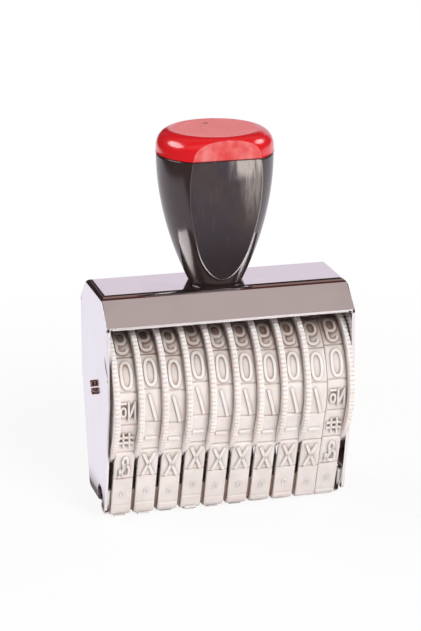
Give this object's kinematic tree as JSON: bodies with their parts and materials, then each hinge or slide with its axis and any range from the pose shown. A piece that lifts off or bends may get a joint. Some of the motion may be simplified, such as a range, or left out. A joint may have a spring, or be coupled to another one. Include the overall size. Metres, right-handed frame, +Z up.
{
  "type": "band numbering stamp",
  "caption": "Hand numbering stamp: rubber figure bands on knurled thumb wheels and a bridge, in a bent sheet frame with a palm handle.",
  "frame": {"origin": "on the paper plane, under the middle of the stamp: the centre of the bounding box's bottom", "axes": "+Z up, away from the paper; +X along the axle, to the right of a user who faces the front; the front faces -Y"},
  "size_m": [0.097, 0.057, 0.1455],
  "materials": {
    "frame_sheet": "bright nickel plated sheet steel",
    "bridge_plastic": "moulded ivory plastic",
    "wheel_plastic": "moulded ivory plastic, satin",
    "band_rubber": "clean unmarked ivory rubber, matt",
    "steel": "zinc plated steel",
    "handle_black": "near-black moulded plastic, glossy, satin on the grip facets",
    "cap_red": "red moulded plastic, satin on the top and the facets"
  },
  "bodies": {
    "root": {"frame": "frame_sheet", "bridge": "bridge_plastic", "axle": "steel", "handle_body": "handle_black", "handle_cap": "cap_red", "handle_screw": "steel", "handle_washer": "steel", "handle_nut": "steel", "band_1": "band_rubber", "band_2": "band_rubber", "band_3": "band_rubber", "band_4": "band_rubber", "band_5": "band_rubber", "band_6": "band_rubber", "band_7": "band_rubber", "band_8": "band_rubber", "band_9": "band_rubber", "band_10": "band_rubber"},
    "thumb_wheel_1": {"wheel_1": "wheel_plastic"},
    "thumb_wheel_2": {"wheel_2": "wheel_plastic"},
    "thumb_wheel_3": {"wheel_3": "wheel_plastic"},
    "thumb_wheel_4": {"wheel_4": "wheel_plastic"},
    "thumb_wheel_5": {"wheel_5": "wheel_plastic"},
    "thumb_wheel_6": {"wheel_6": "wheel_plastic"},
    "thumb_wheel_7": {"wheel_7": "wheel_plastic"},
    "thumb_wheel_8": {"wheel_8": "wheel_plastic"},
    "thumb_wheel_9": {"wheel_9": "wheel_plastic"},
    "thumb_wheel_10": {"wheel_10": "wheel_plastic"}
  },
  "joints": [
    {"name": "thumb_wheel_1_turn", "type": "hinge", "parent": "root", "child": "thumb_wheel_1", "pos_m": [0, 0, 0.0495], "axis": [1, 0, 0], "continuous": true},
    {"name": "thumb_wheel_2_turn", "type": "hinge", "parent": "root", "child": "thumb_wheel_2", "pos_m": [0, 0, 0.0495], "axis": [1, 0, 0], "continuous": true},
    {"name": "thumb_wheel_3_turn", "type": "hinge", "parent": "root", "child": "thumb_wheel_3", "pos_m": [0, 0, 0.0495], "axis": [1, 0, 0], "continuous": true},
    {"name": "thumb_wheel_4_turn", "type": "hinge", "parent": "root", "child": "thumb_wheel_4", "pos_m": [0, 0, 0.0495], "axis": [1, 0, 0], "continuous": true},
    {"name": "thumb_wheel_5_turn", "type": "hinge", "parent": "root", "child": "thumb_wheel_5", "pos_m": [0, 0, 0.0495], "axis": [1, 0, 0], "continuous": true},
    {"name": "thumb_wheel_6_turn", "type": "hinge", "parent": "root", "child": "thumb_wheel_6", "pos_m": [0, 0, 0.0495], "axis": [1, 0, 0], "continuous": true},
    {"name": "thumb_wheel_7_turn", "type": "hinge", "parent": "root", "child": "thumb_wheel_7", "pos_m": [0, 0, 0.0495], "axis": [1, 0, 0], "continuous": true},
    {"name": "thumb_wheel_8_turn", "type": "hinge", "parent": "root", "child": "thumb_wheel_8", "pos_m": [0, 0, 0.0495], "axis": [1, 0, 0], "continuous": true},
    {"name": "thumb_wheel_9_turn", "type": "hinge", "parent": "root", "child": "thumb_wheel_9", "pos_m": [0, 0, 0.0495], "axis": [1, 0, 0], "continuous": true},
    {"name": "thumb_wheel_10_turn", "type": "hinge", "parent": "root", "child": "thumb_wheel_10", "pos_m": [0, 0, 0.0495], "axis": [1, 0, 0], "continuous": true}
  ]
}
